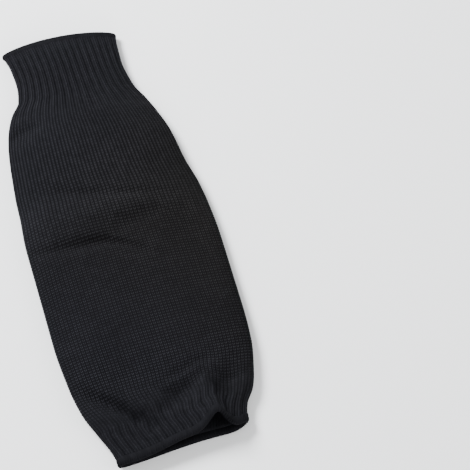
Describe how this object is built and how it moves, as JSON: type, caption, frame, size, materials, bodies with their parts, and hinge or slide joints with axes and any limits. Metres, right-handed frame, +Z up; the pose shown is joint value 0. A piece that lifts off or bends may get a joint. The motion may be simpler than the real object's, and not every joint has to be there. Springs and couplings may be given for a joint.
{
  "type": "cut resistant sleeve",
  "caption": "Black knitted tube sleeve for the forearm, lying flat, with a ribbed wrist cuff, rolled rims and a gathered elastic band at the upper arm.",
  "frame": {"origin": "on the table, under the middle of the lying sleeve", "axes": "+Y along the sleeve from the arm mouth to the wrist, +X to the right across it, +Z up from the table"},
  "size_m": [0.1512, 0.3704, 0.0272],
  "materials": {
    "plain_knit": "matte knitted yarn, plain stitch",
    "rib_knit": "matte knitted yarn, ribbed",
    "overlock": "close overlock stitching"
  },
  "bodies": {
    "root": {"wrist_edge": "overlock", "wrist_cuff": "rib_knit", "sleeve_body": "plain_knit", "arm_band": "rib_knit", "arm_edge": "overlock"}
  },
  "joints": []
}
